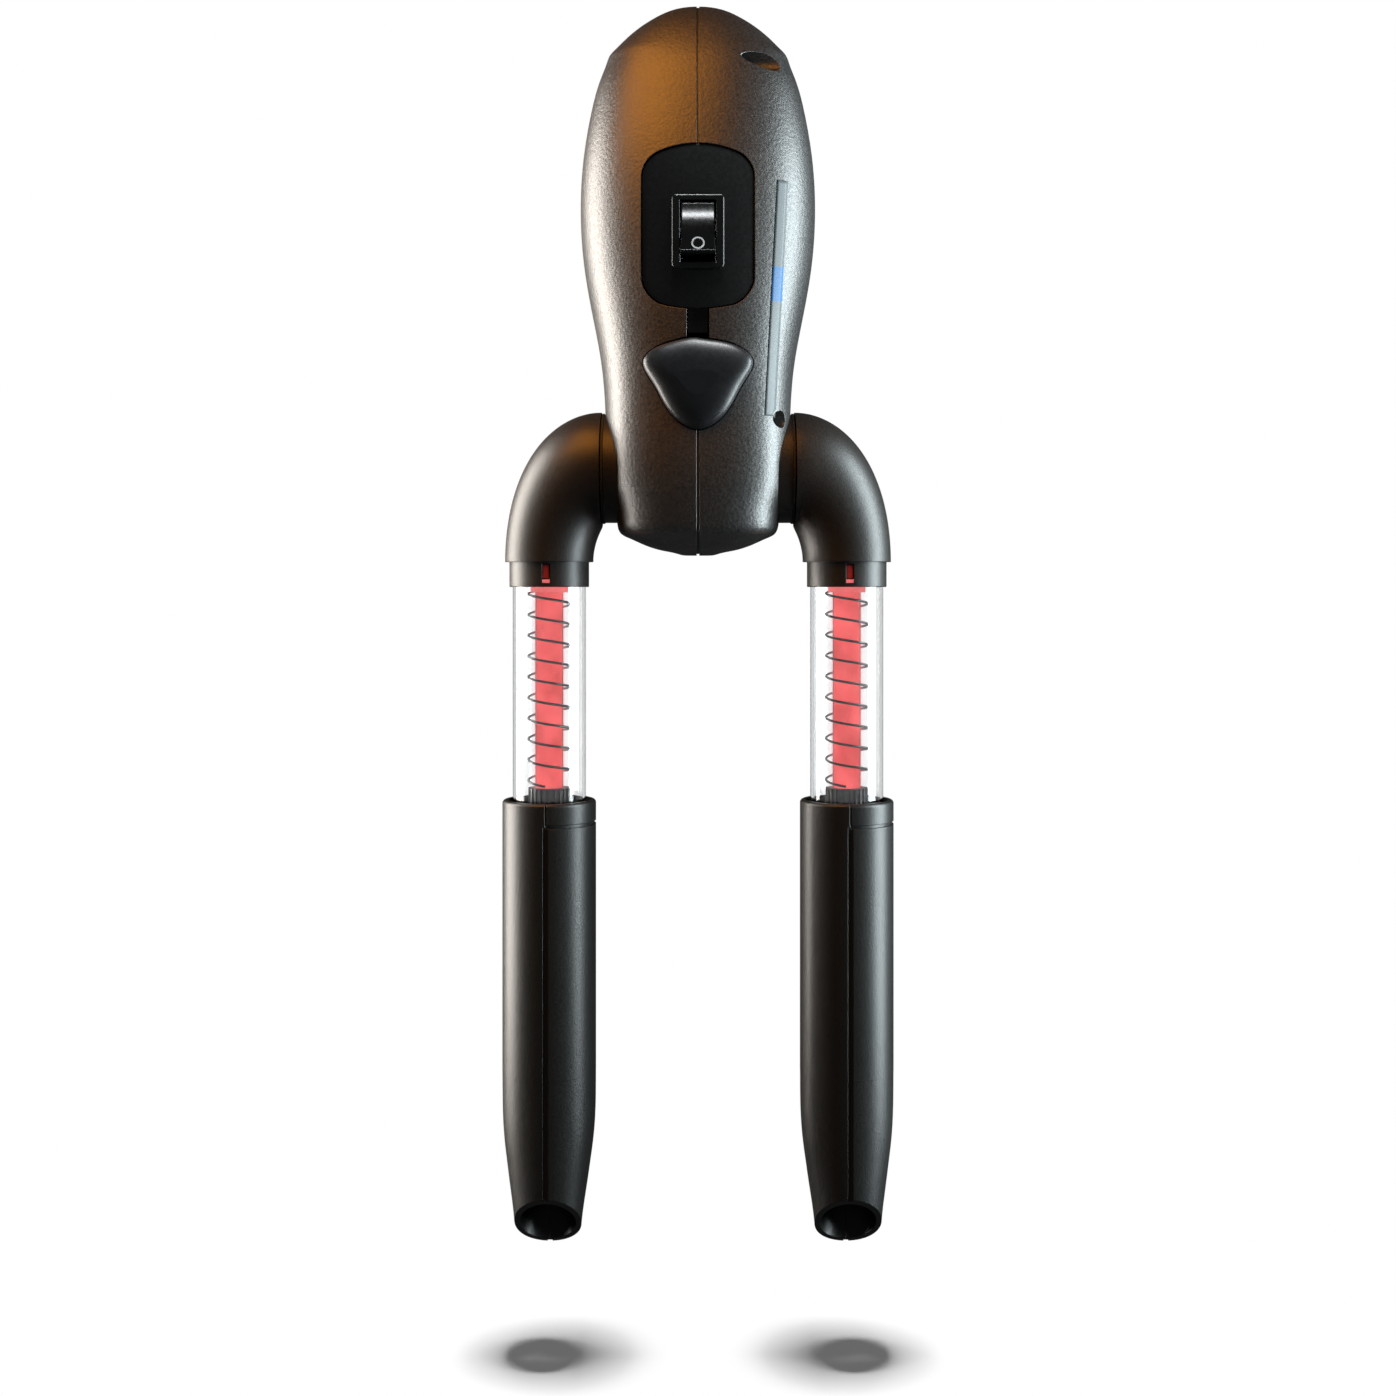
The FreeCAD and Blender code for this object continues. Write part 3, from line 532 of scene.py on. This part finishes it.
def make_world():
    """White to the camera and through the clear hose, and dim to all else, so that the
    object's front stays dark."""
    world = bpy.data.worlds.new("studio")
    bpy.context.scene.world = world
    world.use_nodes = True
    nodes, links = world.node_tree.nodes, world.node_tree.links
    background = nodes["Background"]
    seen = nodes.new("ShaderNodeBackground")
    seen.inputs["Color"].default_value = (1, 1, 1, 1)
    path = nodes.new("ShaderNodeLightPath")
    mixer = nodes.new("ShaderNodeMixShader")
    background.inputs["Color"].default_value = (1, 1, 1, 1)
    background.inputs["Strength"].default_value = WORLD_STRENGTH
    through = nodes.new("ShaderNodeMath")
    through.operation = "MAXIMUM"
    links.new(path.outputs["Is Camera Ray"], through.inputs[0])
    links.new(path.outputs["Is Transmission Ray"], through.inputs[1])
    links.new(through.outputs["Value"], mixer.inputs["Fac"])
    links.new(background.outputs["Background"], mixer.inputs[1])
    links.new(seen.outputs["Background"], mixer.inputs[2])
    links.new(mixer.outputs["Shader"], nodes["World Output"].inputs["Surface"])


FLOOR_REACH = 6.0
SHADOW_R, WHITE_R = 24 * MM, 38 * MM    # the floor fades to white between these, round each leg


def make_floor():
    """A pale floor that takes a shadow under each nozzle and is plain white elsewhere."""
    mesh = bpy.data.meshes.new("floor")
    corners = [(x * FLOOR_REACH, y * FLOOR_REACH, FLOOR_Z)
               for x, y in ((-1, -1), (1, -1), (1, 1), (-1, 1))]
    mesh.from_pydata(corners, [], [(0, 1, 2, 3)])
    floor = bpy.data.objects.new("floor", mesh)
    bpy.context.scene.collection.objects.link(floor)
    floor.visible_diffuse = floor.visible_glossy = False
    m = Material("pale_floor")
    m.set(Base_Color=(0.9, 0.9, 0.9, 1), Roughness=0.9)
    m.shader.inputs["Specular IOR Level"].default_value = 0.1
    place = m.node("ShaderNodeSeparateXYZ", {"Vector": m.place()})
    across = m.math("SUBTRACT", m.math("ABSOLUTE", place.outputs["X"]), LEG_X)
    squares = m.math("ADD", m.math("MULTIPLY", across, across),
                     m.math("MULTIPLY", place.outputs["Y"], place.outputs["Y"]))
    fade = m.remap(m.math("SQRT", squares), SHADOW_R, WHITE_R, 0.1, 1.0)
    white = m.node("ShaderNodeEmission", {"Color": (1, 1, 1, 1), "Strength": 1.0})
    mixer = m.node("ShaderNodeMixShader", {"Fac": fade})
    m.put(m.shader.outputs["BSDF"], mixer.inputs[1])
    m.put(white.outputs["Emission"], mixer.inputs[2])
    m.put(mixer.outputs["Shader"], m.tree.nodes["Material Output"].inputs["Surface"])
    mesh.materials.append(m.material)
    return floor


# ---- the scene -----------------------------------------------------------------------------
CLEAR_VINYL = clear_vinyl()
PRINTED_WHITE = printed("printed_white", (0.62, 0.62, 0.62), (0.86, 0.86, 0.85))
GLOW_LAYERS = [glow("red_light_rim", (1.0, 0.5, 0.54), 1.0, 0.05),
               glow("red_light_outer", (1.0, 0.22, 0.22), 1.0, 0.06),
               glow("red_light_middle", (1.0, 0.12, 0.12), 1.0, 0.09),
               glow("red_light_core", (0.84, 0.055, 0.05), 1.0, 1.0)]
PRINTED_GREY = printed("printed_grey", (0.09, 0.105, 0.11), (0.14, 0.155, 0.16))
PRINTED_BLUE = printed("printed_blue", (0.03, 0.12, 0.28), (0.04, 0.15, 0.34))
LIT_BY_LAMP = {"hose_cuff": smooth_plastic("cuff_lit_red", (0.3, 0.02, 0.018), 0.3),
               "lamp_holder": glow("lamp_holder_lit_red", (0.9, 0.16, 0.16), 0.9, 1.0)}

make_camera()
make_world()
make_lights(make_floor())
dress_nodes()
for side in SIDES:
    make_hose(side)
off_mark()
flank_stripe()
bpy.context.scene.view_settings.view_transform = "Standard"
